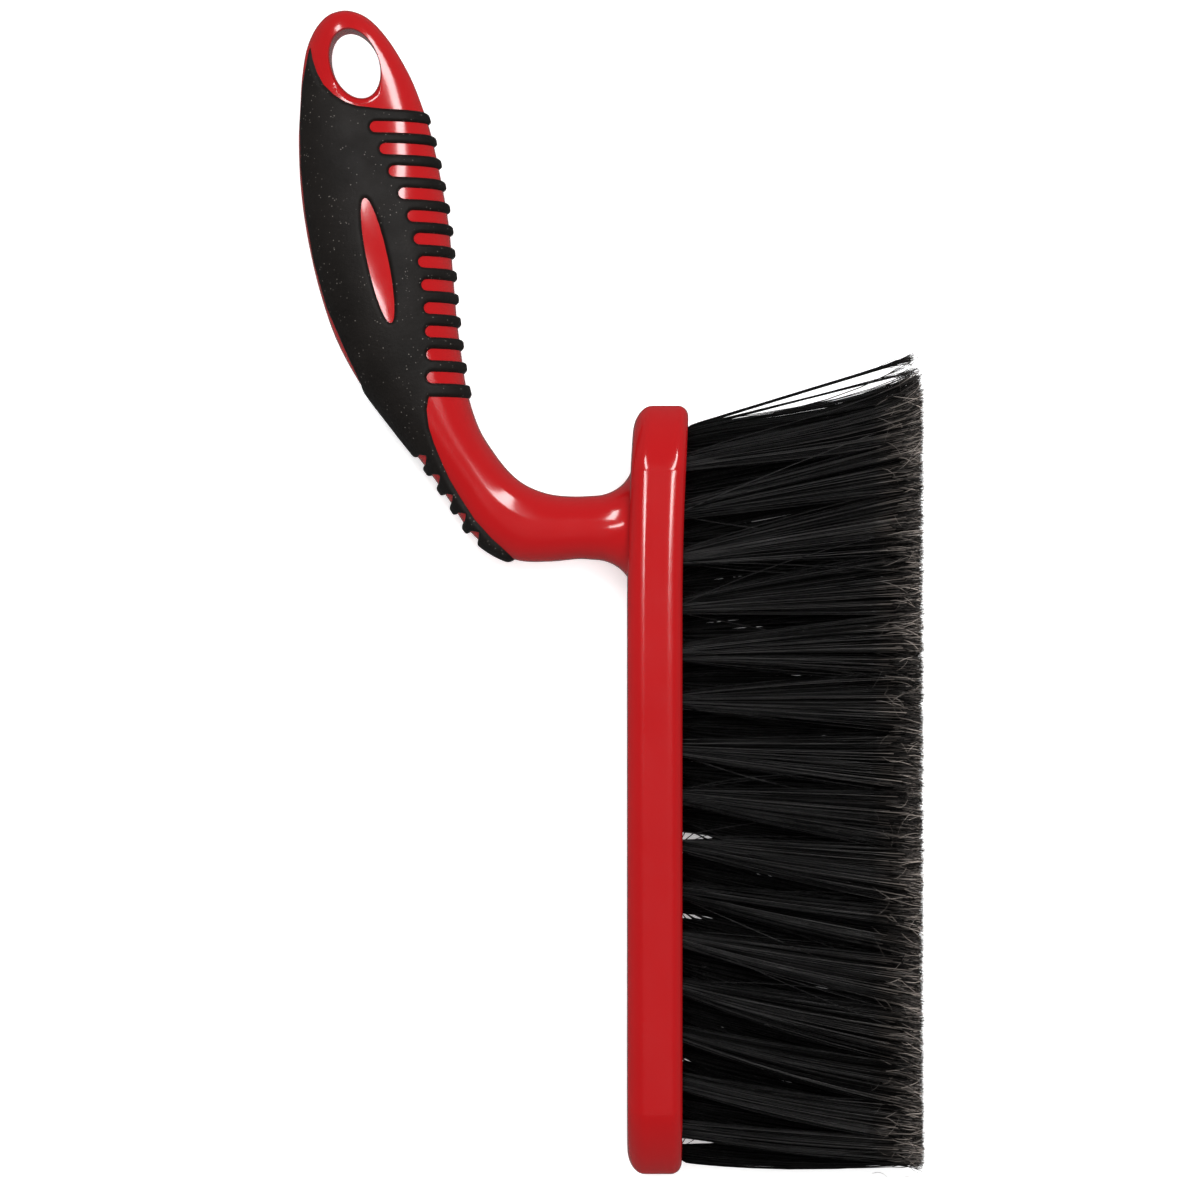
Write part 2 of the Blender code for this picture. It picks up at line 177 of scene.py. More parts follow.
# Each starts this far inside the block's face, and forks this far before its end
ROOT_DEPTH, FORK_LENGTH, TRUNK_RADIUS = 5.0, (4.0, 11.0), (0.13, 0.175)
TRUNK_SHARES = np.array([0.0, 0.02, 0.06, 0.12, 0.2, 0.32, 0.5, 0.7, 0.87, 1.0])
# Each filament splits near its tip into this many finer ones, which start a little before the fork
SPLITS, SPLIT_OVERLAP, SPLIT_LENGTH = 4, 0.3, (0.9, 1.0)
SPLIT_SHARES = np.array([0.0, 0.4, 0.75, 1.0])
SPLIT_RADII = np.array([0.115, 0.10, 0.08, 0.055])
# Share of its sideways lean that a split filament has reached at each of its points
SPLIT_LEAN = np.array([0.0, 0.25, 0.6, 1.0])
LOOSE_HAIRS, LOOSE_HAIR_RADII = 7, np.array([0.05, 0.08, 0.08, 0.07, 0.04])
# Turning each filament this much further round its tuft than the one before spreads them evenly
GOLDEN_ANGLE = math.radians(137.508)
CLUMPS, FRONT_CLUMPING = 15, 0.4
STRAY_SHARE, SHORT_SHARE, SHORT_BY = 0.05, 0.1, 3

# Camera, looking straight down: its place in metres, and the width it sees at that distance, in mm
CAMERA_PLACE, VIEW_DISTANCE, VIEW_WIDTH, SENSOR_WIDTH = (-0.01615, 0.05397, 1.02), 1000, 340, 36
# Lights, in metres: (name, place, size, power, lights matt surfaces, shows in reflections)
AIM = (-0.016, 0.03, 0.01)
LIGHTS = (
    ("softbox_left", (-0.32, 0.58, 0.85), (0.15, 0.45), 3.2, True, True),
    ("softbox_right", (0.32, 0.55, 0.85), (0.13, 0.65), 4.0, True, True),
    ("low_left", (-0.32, 0.138, 0.92), (0.05, 0.30), 0.95, False, True),
    ("low_right", (0.32, 0.138, 0.92), (0.05, 0.30), 0.95, False, True),
    ("fill", (0.08, 0.05, 1.4), (1.4, 1.1), 22.0, True, False),
)


# ---------------------------------------------------------------- mesh helpers


def mesh_piece(name, points, faces, smooth=True):
    """A linked mesh object from points in millimetres."""
    mesh = bpy.data.meshes.new(name)
    mesh.from_pydata((np.asarray(points, float) * MM).tolist(), [], faces)
    mesh.update()
    mesh.polygons.foreach_set("use_smooth", np.full(len(mesh.polygons), smooth))
    obj = bpy.data.objects.new(name, mesh)
    bpy.context.scene.collection.objects.link(obj)
    return obj


def face_outwards(obj):
    """Merges doubled points and turns all faces outwards."""
    work = bmesh.new()
    work.from_mesh(obj.data)
    bmesh.ops.remove_doubles(work, verts=work.verts, dist=1e-7)
    bmesh.ops.recalc_face_normals(work, faces=work.faces)
    if work.calc_volume(signed=True) < 0:
        bmesh.ops.reverse_faces(work, faces=work.faces)
    work.to_mesh(obj.data)
    work.free()
    return obj


def skin(rings):
    """Points and faces of a tube through rings of the same number of points, closed at both ends."""
    rings = np.asarray(rings, float)
    count, sides = rings.shape[:2]
    index = np.arange(count * sides).reshape(count, sides)
    turned = np.roll(index, -1, axis=1)
    quads = np.stack([index[:-1], turned[:-1], turned[1:], index[1:]], axis=-1).reshape(-1, 4)
    return rings.reshape(-1, 3), [*quads.tolist(), index[0].tolist(), index[-1].tolist()]


def apply_modifiers(obj):
    graph = bpy.context.evaluated_depsgraph_get()
    mesh = bpy.data.meshes.new_from_object(obj.evaluated_get(graph))
    obj.modifiers.clear()
    obj.data = mesh


def apply_boolean(obj, other, operation):
    """Cuts the other object from this one, or joins it on, and removes the other."""
    modifier = obj.modifiers.new("cut", "BOOLEAN")
    modifier.operation, modifier.solver, modifier.object = operation, "EXACT", other
    apply_modifiers(obj)
    bpy.data.objects.remove(other, do_unlink=True)


def catmull(points, where):
    """Points of the smooth curve through the rows of points, at station numbers where.

    Before the first row, at the loop's end, the curve goes on with its outer and inner edges swapped.
    """
    first = np.clip(np.floor(where).astype(int), 0, len(points) - 2)
    t = (where - first)[:, None]
    before = np.where(first == 0, len(points), first - 1)
    mirrored = points[1][[2, 3, 0, 1, 4]] * (1, 1, 1, 1, -1)
    padded = np.vstack([points, mirrored, 2 * points[-1] - points[-2]])
    a, b, c = padded[before], padded[first], padded[first + 1]
    after = np.where(first + 2 < len(points), first + 2, len(points) + 1)
    d = padded[after]
    return 0.5 * (2 * b + (c - a) * t + (2 * a - 5 * b + 4 * c - d) * t**2 + (3 * b - a - 3 * c + d) * t**3)


def ring_points(stations, angles, grow=0.0):
    """Points round the handle, one row for each station, grown outwards by grow."""
    outer, inner, half_depth = stations[:, 0:2], stations[:, 2:4], stations[:, 4]
    width = np.maximum(np.linalg.norm(inner - outer, axis=1), 1e-6)
    across = (inner - outer) / width[:, None]
    middle = (inner + outer) / 2
    power = 2 / SQUARENESS
    c, s = np.cos(angles), np.sin(angles)
    u = np.sign(c) * np.abs(c) ** power * (width[:, None] / 2 + grow)
    w = np.sign(s) * np.abs(s) ** power * (np.abs(half_depth)[:, None] + grow)
    xy = middle[:, None] + u[..., None] * across[:, None]
    return np.concatenate([xy, MID_Z + w[..., None]], axis=2)


def bow(y):
    """How far the block is bowed towards the bristles at y."""
    return BOW_RATE * np.maximum(0.0, y - BOW_FROM_Y) ** 2


# ---------------------------------------------------------------- moulded body


def block_outline(inset_y, inset_z):
    """(y, z) points round the block: the upper half from +y to -y, then its mirror image back again."""
    turn = np.pi / 2 * np.arange(CORNER_STEPS + 1) / CORNER_STEPS
    power = 2 / CORNER_SQUARENESS
    out_y, out_z = np.clip(np.cos(turn), 0, 1) ** power, np.sin(turn) ** power
    half_y, half_z = BLOCK_HALF_LENGTH - inset_y, BLOCK_HALF_DEPTH - inset_z
    radius_y, radius_z = BLOCK_CORNER[0] - inset_y, BLOCK_CORNER[1] - inset_z
    corner = np.column_stack([half_y - radius_y * (1 - out_y), half_z - radius_z * (1 - out_z)])
    side = np.column_stack([BOWED_SIDE_Y, np.full(len(BOWED_SIDE_Y), half_z)])
    upper = np.concatenate([corner, side, corner[::-1] * (-1, 1)])
    return np.concatenate([upper, upper[::-1] * (1, -1)])


def block_sections():
    """(x, inset in y, inset in z) of each ring of the block, from its back to its face."""
    sections = []
    turns = np.pi / 2 * np.arange(EDGE_STEPS + 1) / EDGE_STEPS
    for end_x, inwards, (edge_x, edge_y, edge_z), order in (
        (BLOCK_BACK_X, 1, BACK_EDGE, turns),
        (BLOCK_FACE_X, -1, FACE_EDGE, turns[::-1]),
    ):
        for turn in order:
            x, inset = end_x + inwards * edge_x * (1 - math.cos(turn)), 1 - math.sin(turn)
            sections.append((x, edge_y * inset, edge_z * inset))
        if inwards > 0:
            start, end = BLOCK_BACK_X + BACK_EDGE[0], BLOCK_FACE_X - FACE_EDGE[0]
            sections += [(x, 0.0, 0.0) for x in np.linspace(start, end, SIDE_RINGS + 2)[1:-1]]
    return sections


def block_mesh():
    """Points and faces of the block, its ends capped by strips between the mirrored halves of a ring."""
    middle_x = (BLOCK_BACK_X + BLOCK_FACE_X) / 2
    rings = []
    for x, inset_y, inset_z in block_sections():
        beyond_flat = max(0.0, abs(x - middle_x) - FLAT_HALF)
        outline = block_outline(inset_y, inset_z + beyond_flat**2 / (2 * CROWN_RADIUS))
        rings.append(np.column_stack([x + bow(outline[:, 0]), outline[:, 0], MID_Z + outline[:, 1]]))
    points, faces = skin(rings)
    count, start = len(rings[0]), len(points) - len(rings[0])
    strip = np.arange(count // 2 - 1)
    strips = np.column_stack([strip, strip + 1, count - 2 - strip, count - 1 - strip])
    return points, [*faces[:-2], *strips.tolist(), *(strips + start).tolist()]


def handle_mesh():
    """Points and faces of the handle, the neck and the flare where the neck meets the block."""
    angles = 2 * np.pi * np.arange(HANDLE_SIDES) / HANDLE_SIDES
    where = np.concatenate([TIP_STATIONS, np.arange(1, len(HANDLE) - 1 + 1e-6, STATION_STEP)])
    rings = [*ring_points(catmull(HANDLE, where), angles)]
    neck = HANDLE[-1]
    for turn in FLARE_TURNS:
        station = neck.copy()
        station[[0, 2]] = neck[0] + FLARE_X * math.sin(turn)
        station[1] -= FLARE_Y * (1 - math.cos(turn))
        station[3] += FLARE_Y * (1 - math.cos(turn))
        station[4] += FLARE_Z * (1 - math.cos(turn))
        rings.append(ring_points(station[None], angles)[0])
    inside = rings[-1].copy()
    inside[:, 0] += FLARE_INSIDE
    return skin([*rings, inside])


def ellipse(centre, half, tilt, sides):
    """(x, y) points round a tilted ellipse."""
    turn = 2 * np.pi * np.arange(sides) / sides
    x, y = half[0] * np.cos(turn), half[1] * np.sin(turn)
    across = centre[0] + x * math.cos(tilt) - y * math.sin(tilt)
    return np.column_stack([across, centre[1] + x * math.sin(tilt) + y * math.cos(tilt)])


def loop_cutter():
    """An oval bar whose ends flare, so that the rim of the hanging hole is rounded."""
    turns = np.radians(np.arange(0, 91, 9))
    upper = [(RIM_FROM + RIM_RISE * math.sin(a), RIM_WIDTH * (1 - math.cos(a))) for a in turns]
    upper.append(LOOP_CUTTER_END)
    rings = []
    for height, grow in [*[(-h, g) for h, g in upper[::-1]], *upper]:
        half = (LOOP_HOLE_HALF[0] + grow, LOOP_HOLE_HALF[1] + grow)
        outline = ellipse(LOOP_HOLE, half, LOOP_HOLE_TILT, HANDLE_SIDES)
        rings.append(np.column_stack([outline, np.full(len(outline), MID_Z + height)]))
    return face_outwards(mesh_piece("cutter", *skin(rings)))


def tuft_centres():
    """Name, y and z of each tuft."""
    for row, z in ROW_Z.items():
        count = ROW_TUFTS[row]
        for i in range(count):
            yield f"{row}_{i + 1:02d}", ROW_MIDDLE_Y + TUFT_PITCH * ((count - 1) / 2 - i), z


def hole_cutter():
    """A pin for each tuft's hole, widening where it passes the block's face."""
    turn = 2 * np.pi * np.arange(HOLE_SIDES) / HOLE_SIDES
    points, faces, start = [], [], 0
    for _, y, z in tuft_centres():
        rings = []
        for depth, grow in ((HOLE_DEPTH, 0.0), (MOUTH, 0.0), (-MOUTH, MOUTH_WIDENING)):
            x = np.full(HOLE_SIDES, BLOCK_FACE_X + bow(y) - depth)
            radius = HOLE_RADIUS + grow
            rings.append(np.column_stack([x, y + radius * np.cos(turn), z + radius * np.sin(turn)]))
        pin_points, pin_faces = skin(rings)
        points.append(pin_points)
        faces += [[v + start for v in face] for face in pin_faces]
        start += len(pin_points)
    return face_outwards(mesh_piece("cutter", np.concatenate(points), faces))


def make_body():
    """The whole red moulding, shaded smoothly except at its sharp edges."""
    body = face_outwards(mesh_piece("moulded_body", *block_mesh()))
    handle = face_outwards(mesh_piece("join", *handle_mesh()))
    apply_boolean(handle, loop_cutter(), "DIFFERENCE")
    apply_boolean(body, hole_cutter(), "DIFFERENCE")
    apply_boolean(body, handle, "UNION")
    body.data.polygons.foreach_set("use_smooth", np.full(len(body.data.polygons), True))
    body.data.set_sharp_from_angle(angle=SHARP_ANGLE)
    body.modifiers.new("even", "WEIGHTED_NORMAL").keep_sharp = True
    apply_modifiers(body)
    return body


# ---------------------------------------------------------------- rubber grip


def grip_outline():
    """The rubber seen from the side, wider than the handle where the rubber wraps round it."""
    outline = list(GRIP_TOP_EDGE)
    for end_x, y in SLOTS:
        outline.append((CLEAR_X, y + SLOT_HALF))
        for a in math.pi / 2 + math.pi * np.arange(9) / 8:
            outline.append((end_x + SLOT_HALF * (1 + math.cos(a)), y + SLOT_HALF * math.sin(a)))
        outline.append((CLEAR_X, y - SLOT_HALF))
    outline += GRIP_LOWER_EDGE
    along = np.array((-NOTCH_AWAY[1], NOTCH_AWAY[0]))
    shoulder = NOTCH_HALF - NOTCH_DEPTH
    notch = ((1, NOTCH_CLEAR), (1, shoulder), (0, -NOTCH_DEPTH), (-1, shoulder), (-1, NOTCH_CLEAR))
    for centre in NOTCHES:
        for side, out in notch:
            outline.append(tuple(np.array(centre) + side * NOTCH_HALF * along + out * NOTCH_AWAY))
    return np.array([*outline, *GRIP_SPINE_EDGE])


def inside_by(points, outline):
    """How far each point is inside the outline, and less than 0 outside it."""
    near = np.full(len(points), 1e9)
    inside = np.zeros(len(points), bool)
    for a, b in zip(outline, np.roll(outline, -1, axis=0), strict=True):
        edge = b - a
        t = np.clip(((points - a) @ edge) / (edge @ edge), 0, 1)
        near = np.minimum(near, np.linalg.norm(points - a - t[:, None] * edge, axis=1))
        crosses = (a[1] > points[:, 1]) != (b[1] > points[:, 1])
        rise = edge[1] if edge[1] else 1e-12
        inside ^= crosses & (points[:, 0] < a[0] + edge[0] * (points[:, 1] - a[1]) / rise)
    return np.where(inside, near, -near)


def grip_cover(points):
    """How far inside the rubber each point of the handle is, and less than 0 where it is bare."""
    rim = (LOOP_HOLE_HALF[0] + LOOP_RIM_WIDTH, LOOP_HOLE_HALF[1] + LOOP_RIM_WIDTH)
    cover = inside_by(points, grip_outline())
    for centre, half, tilt in ((INLAY, INLAY_HALF, INLAY_TILT), (LOOP_HOLE, rim, LOOP_HOLE_TILT)):
        cover = np.minimum(cover, -inside_by(points, ellipse(centre, half, tilt, OPENING_SIDES)))
    return cover


def even_angles(sides):
    """Angles round the handle that put its points evenly along its surface."""
    fine = 2 * np.pi * np.arange(7201) / 7200
    power = 2 / SQUARENESS
    x = HANDLE_FLATNESS * np.sign(np.cos(fine)) * np.abs(np.cos(fine)) ** power
    z = np.sign(np.sin(fine)) * np.abs(np.sin(fine)) ** power
    run = np.concatenate([[0.0], np.cumsum(np.hypot(np.diff(x), np.diff(z)))])
    return np.interp(run[-1] * (np.arange(sides) + 0.5) / sides, run, fine)


def grip_height(cover, where, angles):
    """How far the rubber stands off the handle: rounded at its edges and below the surface outside them."""
    side = np.cos(angles)[None, :]
    spine = np.interp(where, SPINE_STATIONS, SPINE_RISE)[:, None]
    full = GRIP_FRONT + (np.where(side > 0, GRIP_RIB, spine) - GRIP_FRONT) * np.abs(side)
    t = cover / GRIP_ROUNDING
    rounded = full * (1 - (1 - np.clip(t, 0, 1)) ** 3)
    return np.where(t > 0, rounded, np.maximum(3 * full * t, -GRIP_SUNK))


def shell_faces(near):
    """Quads of a closed shell over the near points of a grid: outside, inside, and walls between them.

    The inside points are numbered after all the outside ones.
    """
    rows, columns = near.shape
    kept = near[:-1] & near[1:]
    kept = kept & np.roll(kept, -1, axis=1)
    index = np.arange(rows * columns).reshape(rows, columns)
    turned = np.roll(index, -1, axis=1)
    quads = np.stack([index[:-1], turned[:-1], turned[1:], index[1:]], axis=-1)[kept]
    inner = quads[:, ::-1] + rows * columns
    edges = np.concatenate([quads[:, [k, (k + 1) % 4]] for k in range(4)])
    keys = edges.min(1).astype(np.int64) * rows * columns + edges.max(1)
    _, first, counts = np.unique(keys, return_index=True, return_counts=True)
    rim = edges[first[counts == 1]]
    walls = np.column_stack([rim[:, 1], rim[:, 0], rim[:, 0] + rows * columns, rim[:, 1] + rows * columns])
    return np.concatenate([quads, inner, walls])


def make_grip():
    """A closed shell over the part of the handle that the rubber covers."""
    angles = even_angles(GRIP_SIDES)
    where = np.arange(GRIP_STATIONS[0], GRIP_STATIONS[1] + 1e-6, GRIP_STATION_STEP)
    stations = catmull(HANDLE, where)
    surface = ring_points(stations, angles)
    out = ring_points(stations, angles, 1.0) - surface
    cover = grip_cover(surface[..., :2].reshape(-1, 2)).reshape(surface.shape[:2])
    height = grip_height(cover, where, angles)
    outside, inside = surface + out * height[..., None], surface - GRIP_INSIDE * out
    points = np.concatenate([outside.reshape(-1, 3), inside.reshape(-1, 3)])
    used, faces = np.unique(shell_faces(cover > -GRIP_SKIRT), return_inverse=True)
    return face_outwards(mesh_piece("rubber_grip", points[used], faces.reshape(-1, 4).tolist()))


# ---------------------------------------------------------------- bristles


def tubes(paths, radii):
    """Points, sides and ends of thin tubes along paths, (n, k, 3), with radii (n, k)."""
    n, k = paths.shape[:2]
    turn = 2 * np.pi * np.arange(TUBE_SIDES) / TUBE_SIDES
    angle = turn[None] + np.linspace(0, 2.0, n)[:, None]
    ring = np.stack([np.zeros((n, TUBE_SIDES)), np.cos(angle), np.sin(angle)], axis=-1)
    points = paths[:, :, None] + ring[:, None] * radii[:, :, None, None]
    index = np.arange(n * k * TUBE_SIDES).reshape(n, k, TUBE_SIDES)
    turned = np.roll(index, -1, axis=2)
    quads = np.stack([index[:, :-1], turned[:, :-1], turned[:, 1:], index[:, 1:]], axis=-1).reshape(-1, 4)
    caps = [*index[:, 0, ::-1].tolist(), *index[:, -1].tolist()]
    return points.reshape(-1, 3), quads.tolist(), caps


def tip_cell(row, y):
    """Middle and half size, in y and z, of the tuft's share of the brush's tip face."""
    low, high = np.interp((y - TUFT_PITCH / 2, y + TUFT_PITCH / 2), FAN[:, 0], FAN[:, 1])
    third = TIP_HALF_DEPTH / 3
    tip_z = {"front": MID_Z + 2 * third, "middle": MID_Z, "back": MID_Z - 2 * third}[row]
    return (low + high) / 2, tip_z, (high - low) / 2, third


def clumped(u, v, rng, pull):
    """Filaments keep company: each is pulled towards the middle of its own clump."""
    seeds = rng.uniform(-1, 1, (CLUMPS, 2))
    near = np.argmin((u[:, None] - seeds[:, 0]) ** 2 + (v[:, None] - seeds[:, 1]) ** 2, axis=1)
    middle = np.zeros((CLUMPS, 2))
    for k in np.unique(near):
        middle[k] = u[near == k].mean(), v[near == k].mean()
    return u + pull * (middle[near, 0] - u), v + pull * (middle[near, 1] - v)


def strand(x, start, root, end, bend, bow_out):
    """Points of each filament at x: it leaves the block at root and reaches end, bent and bowed on the way.

    The third column of root is how far the filament moves sideways as its tuft swells.
    """
    s = (x - start) / (end[:, :1] - start)
    late = np.where(bend[:, None] < 0, s, 1.0)
    along = np.where(s > 0, s * (1 + bend[:, None] * late * (1 - s)), 0)
    arc = np.where(s > 0, 4 * s * (1 - s), 0)
    clear = np.maximum(x - start, 0.0)
    grown = 1 - np.exp(-np.maximum(x - start + SWELL_INSIDE, 0.0) / SWELL_LENGTH)
    swell = root[:, 2:] * grown * (1 - np.clip(s, 0, 1))
    y = root[:, :1] + (end[:, 1:2] - root[:, :1]) * along + bow_out[:, :1] * arc + swell
    z = root[:, 1:2] + (end[:, 2:] - root[:, 1:2]) * along + bow_out[:, 1:] * arc
    for gap_y, lean, half, length in PARTINGS:
        middle = gap_y + lean * (z - MID_Z) - PARTING_DRIFT * clear
        aside = half * (1 - clear / length)
        side = np.where(root[:, :1] > gap_y, 1.0, -1.0)
        parted = (np.abs(y - middle) < aside) & (x > start - PARTING_INSIDE)
        y = np.where(parted, middle + side * aside, y)
    return np.stack([x, y, z], axis=-1)


def tuft_layout(name, y, z, rng, count):
    """Root, end, bend and bow of each filament in a tuft."""
    row = name.split("_")[0]
    tip_y, tip_z, half_y, half_z = tip_cell(row, y)
    order = np.arange(count) + 0.5
    reach, turn = np.sqrt(order / count), order * GOLDEN_ANGLE
    u, v = reach * np.cos(turn), reach * np.sin(turn)
    square = np.maximum(np.abs(u), np.abs(v)) / np.maximum(reach, 1e-6)
    swell = 0.0 * u if row == "front" else SWELL_TO * u / square - TUFT_RADIUS * u
    root = np.column_stack([y + TUFT_RADIUS * u, z + TUFT_RADIUS * v, swell])
    u, v = clumped(u / square, v / square, rng, pull=FRONT_CLUMPING if row == "front" else 0.0)
    u, v = 1.1 * u, 1.1 * v
    # A few filaments stray far from their place, and a few are worn short
    stray = rng.random(count) < STRAY_SHARE
    spread = np.where(stray, 1.0, 0.12)
    end_x = TIP_X + 0.6 - np.abs(rng.normal(0, 0.5, count))
    end_x -= (rng.random(count) < SHORT_SHARE) * rng.random(count) * SHORT_BY
    end_y = tip_y + half_y * (u + spread * rng.normal(0, 0.9, count))
    end_z = tip_z + half_z * (v + 0.2 * rng.normal(0, 1, count))
    end_z = np.clip(end_z, MID_Z - TIP_HALF_DEPTH, MID_Z + TIP_HALF_DEPTH)
    end = np.column_stack([end_x, end_y, end_z])
    bend = np.interp(y, BEND_Y, BEND) * rng.uniform(0.85, 1.15, count)
    wander = np.where(stray & (abs(y) < 85), 2.0, 0.35)
    bow_out = np.column_stack([rng.normal(np.interp(y, BOW_Y, BOW), wander), rng.normal(0, 0.3, count)])
    pull_out_wisps(name, rng, root, end, bend, bow_out)
    return root, end, bend, bow_out


def pull_out_wisps(name, rng, root, end, bend, bow_out):
    """Moves the ends of the tuft's highest filaments that are still bent, and straightens them."""
    for tuft, filaments, wisp_y, wisp_z in WISPS:
        if tuft == name:
            highest = np.argsort(root[:, 0] + 1000 * (bend < 0))[-filaments:]
            end[highest, 0] = TIP_X - 1.5 + rng.normal(0, 0.3, filaments)
            end[highest, 1] = wisp_y + rng.normal(0, 0.4, filaments)
            end[highest, 2] = wisp_z + rng.normal(0, 0.8, filaments)
            bend[highest], bow_out[highest] = 0.0, 0.0


def loose_hairs(y, rng):
    """A few fine hairs that lie across the tips on both sides of the brush."""
    count = LOOSE_HAIRS
    x = rng.uniform(TIP_X - 15, TIP_X - 4, count)
    tip_y = np.interp(y, FAN[:, 0], FAN[:, 1]) + rng.uniform(-6, 6, count)
    z = MID_Z + rng.choice((-1, 1), count) * rng.uniform(13.2, 14.4, count)
    turn, length, curl = rng.normal(0, 0.8, count), rng.uniform(3, 8, count), rng.normal(0, 0.4, count)
    steps = np.linspace(0, 1, len(LOOSE_HAIR_RADII))
    heading = turn[:, None] + curl[:, None] * steps
    path_x = np.minimum(x[:, None] + length[:, None] * steps * np.cos(heading), TIP_X)
    path_y = tip_y[:, None] + length[:, None] * steps * np.sin(heading)
    path = np.stack([path_x, path_y, np.repeat(z[:, None], len(steps), axis=1)], axis=-1)
    return tubes(path, LOOSE_HAIR_RADII * np.ones((count, 1)))


def make_tuft(name, y, z, rng):
    """All the filaments of a tuft, with a value from 0 to 1 for each of their points: a random brightness,
    times painted shade that darkens the filaments rooted deep in the brush.
    """
    count = FILAMENTS[name.split("_")[0]]
    face_x = BLOCK_FACE_X + bow(y)
    root, end, bend, bow_out = tuft_layout(name, y, z, rng, count)
    fork_x = end[:, 0] - rng.uniform(*FORK_LENGTH, count)
    x = face_x + (fork_x[:, None] - face_x) * TRUNK_SHARES
    x = np.concatenate([np.full((count, 1), face_x - ROOT_DEPTH), x], axis=1)
    trunk = strand(x, face_x, root, end, bend, bow_out)
    radius = np.repeat(rng.uniform(*TRUNK_RADIUS, count)[:, None], trunk.shape[1], axis=1)
    # Painted shade: filaments rooted near the brush's middle plane get a lower value, which makes them
    # darker, as if the outer rows shaded them.
    depth = np.abs(root[:, 1] - MID_Z) / (ROW_Z["front"] - MID_Z + TUFT_RADIUS)
    outer = 0.15 + 0.85 * depth**2
    parts = [tubes(trunk, radius)]
    tones_and_painted_shade = [np.repeat(rng.random(count) ** 1.6 * outer, trunk.shape[1] * TUBE_SIDES)]
    if not name.startswith("middle"):
        parts.append(loose_hairs(y, rng))
        tones_and_painted_shade.append(np.ones(len(parts[-1][0])))
    for _ in range(SPLITS):
        run = (end[:, 0] - fork_x)[:, None] * rng.uniform(*SPLIT_LENGTH, count)[:, None]
        x = fork_x[:, None] - SPLIT_OVERLAP + run * SPLIT_SHARES
        path = strand(x, face_x, root, end, bend, bow_out)
        lean = rng.normal(0, 1, (count, 2)) * np.where(rng.random(count) < 0.3, 2.1, 0.6)[:, None]
        path[..., 1:] += lean[:, None] * SPLIT_LEAN[None, :, None]
        path[:, 1:3, 1:] += rng.normal(0, 0.2, (count, 2, 2))
        path[..., 2] = np.clip(path[..., 2], 0.3, 2 * MID_Z - 0.3)
        parts.append(tubes(path, SPLIT_RADII * np.ones((count, 1))))
        # The split ends get a random brightness, darkened by the same painted shade deep in the brush.
        tone_and_painted_shade = rng.random(count) ** 3.0 * (0.35 + 0.65 * outer)
        tones_and_painted_shade.append(np.repeat(tone_and_painted_shade, path.shape[1] * TUBE_SIDES))
    return joined_tubes("bristles_" + name, parts, np.concatenate(tones_and_painted_shade))


def joined_tubes(name, parts, tones_and_painted_shade):
    """One piece from several sets of tubes, with a value for each of their points that holds random
    brightness and painted shade.
    """
    points, faces, start = [], [], 0
    for part_points, quads, caps in parts:
        faces += (np.array(quads) + start).tolist() + (np.array(caps) + start).tolist()
        points.append(part_points)
        start += len(part_points)
    piece = mesh_piece(name, np.concatenate(points), faces)
    attribute = piece.data.attributes.new("tone_and_painted_shade", "FLOAT", "POINT")
    attribute.data.foreach_set("value", tones_and_painted_shade.astype(np.float32))
    return piece


# ---------------------------------------------------------------- materials


class Nodes:
    """A material's node tree, with short ways to add and join nodes."""

    def __init__(self, name):
        self.material = bpy.data.materials.new(name)
        self.material.use_nodes = True
        self.tree = self.material.node_tree
        self.shader = self.tree.nodes["Principled BSDF"]
        self.place = self.add("ShaderNodeTexCoord").outputs["Object"]

    def add(self, kind, **values):
        """A new node, each value given to its property or, failing that, to its input of that name."""
        node = self.tree.nodes.new(kind)
        for key, value in values.items():
            if hasattr(node, key):
                setattr(node, key, value)
            else:
                node.inputs[key.replace("_", " ")].default_value = value
        return node

    def join(self, output, target):
        self.tree.links.new(output, target)

    def noise(self, scale, detail=2.0, roughness=0.5, stretch=None):
        """Noise over the object, in cells per metre, stretched by different scales along x, y and z."""
        node = self.add("ShaderNodeTexNoise", Scale=scale, Detail=detail, Roughness=roughness)
        place = self.place
        if stretch:
            mapping = self.add("ShaderNodeMapping")
            mapping.inputs["Scale"].default_value = stretch
            self.join(place, mapping.inputs["Vector"])
            place = mapping.outputs["Vector"]
        self.join(place, node.inputs["Vector"])
        return node.outputs["Fac"]

    def ramp(self, source, *stops):
        """Turns source into greys or colours through (position, value) stops."""
        node = self.add("ShaderNodeValToRGB")
        while len(node.color_ramp.elements) < len(stops):
            node.color_ramp.elements.new(0.5)
        for element, (where, colour) in zip(node.color_ramp.elements, stops, strict=True):
            element.position = where
            element.color = (*colour, 1.0) if isinstance(colour, tuple) else (colour, colour, colour, 1.0)
        self.join(source, node.inputs["Fac"])
        return node.outputs["Color"]

    def mix(self, kind, share, first, second):
        node = self.add("ShaderNodeMix", data_type="RGBA", blend_type=kind)
        colours = {socket.name: socket for socket in node.inputs if socket.type == "RGBA"}
        sockets = (node.inputs["Factor"], colours["A"], colours["B"])
        for socket, value in zip(sockets, (share, first, second), strict=True):
            if isinstance(value, bpy.types.NodeSocket):
                self.join(value, socket)
            elif socket.type == "RGBA":
                socket.default_value = (*value, 1.0)
            else:
                socket.default_value = value
        return next(socket for socket in node.outputs if socket.type == "RGBA")

    def bump(self, source, strength, distance):
        node = self.add("ShaderNodeBump", Strength=strength, Distance=distance)
        self.join(source, node.inputs["Height"])
        self.join(node.outputs["Normal"], self.shader.inputs["Normal"])

    def set(self, **values):
        """Sets the shader's own inputs, with _ for each space in their names."""
        for key, value in values.items():
            self.shader.inputs[key.replace("_", " ")].default_value = value


